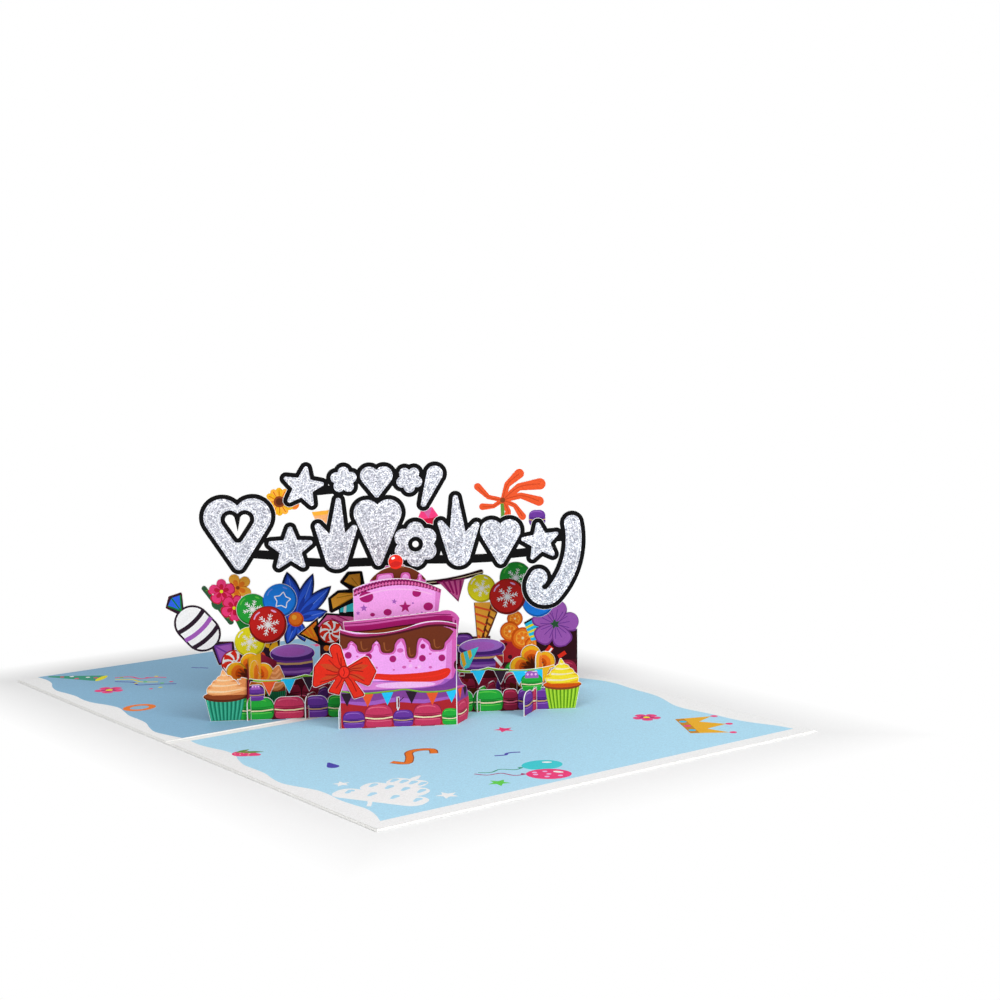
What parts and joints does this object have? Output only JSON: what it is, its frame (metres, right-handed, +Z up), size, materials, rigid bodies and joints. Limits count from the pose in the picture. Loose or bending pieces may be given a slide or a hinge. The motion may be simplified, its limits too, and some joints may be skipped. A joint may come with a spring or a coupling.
{
  "type": "pop up card",
  "caption": "Greeting card opened flat, with a slice-form pop-up of slotted printed sheets: tiered cake, sweets, balloons and a glitter ornament",
  "frame": {"origin": "middle of the fold on the underside of the opened card, which lies flat", "axes": "+X along the fold, +Y across the fold to the far panel, +Z up; -Y is the near panel"},
  "size_m": [0.21, 0.297, 0.1054],
  "materials": {
    "cover_board": "printed matt card",
    "lining_paper": "printed matt paper",
    "printed_card": "printed matt card, white cut edges",
    "black_card": "black matt card",
    "glitter_card": "silver glitter"
  },
  "bodies": {
    "root": {"cover": "cover_board", "near_lining": "lining_paper", "far_lining": "lining_paper", "front_slice": "printed_card", "bow": "printed_card", "frosting_slice": "printed_card", "upper_tier_slice": "printed_card", "cake_top_slice": "printed_card", "wing_slice": "printed_card", "left_flower_slice": "printed_card", "right_flower_slice": "printed_card", "middle_slice": "printed_card", "back_slice": "printed_card", "left_balloons": "printed_card", "right_balloons": "printed_card", "blossoms": "printed_card", "blue_flower": "printed_card", "sunflower": "printed_card", "gift_box": "printed_card", "pink_gem": "printed_card", "palm_flower": "printed_card", "small_macaron": "printed_card", "cross_slice_1": "printed_card", "cross_slice_2": "printed_card", "cross_slice_3": "printed_card", "cross_slice_4": "printed_card", "cross_slice_5": "printed_card", "cross_slice_6": "printed_card", "cross_slice_7": "printed_card", "ornament_backing": "black_card", "glitter_big_heart": "glitter_card", "glitter_low_star": "glitter_card", "glitter_left_plume": "glitter_card", "glitter_tall_heart": "glitter_card", "glitter_ring_flower": "glitter_card", "glitter_right_plume": "glitter_card", "glitter_small_heart": "glitter_card", "glitter_end_star": "glitter_card", "glitter_tail_curl": "glitter_card", "glitter_top_star": "glitter_card", "glitter_top_left_flower": "glitter_card", "glitter_top_heart": "glitter_card", "glitter_top_right_flower": "glitter_card", "glitter_top_drop": "glitter_card"}
  },
  "joints": []
}
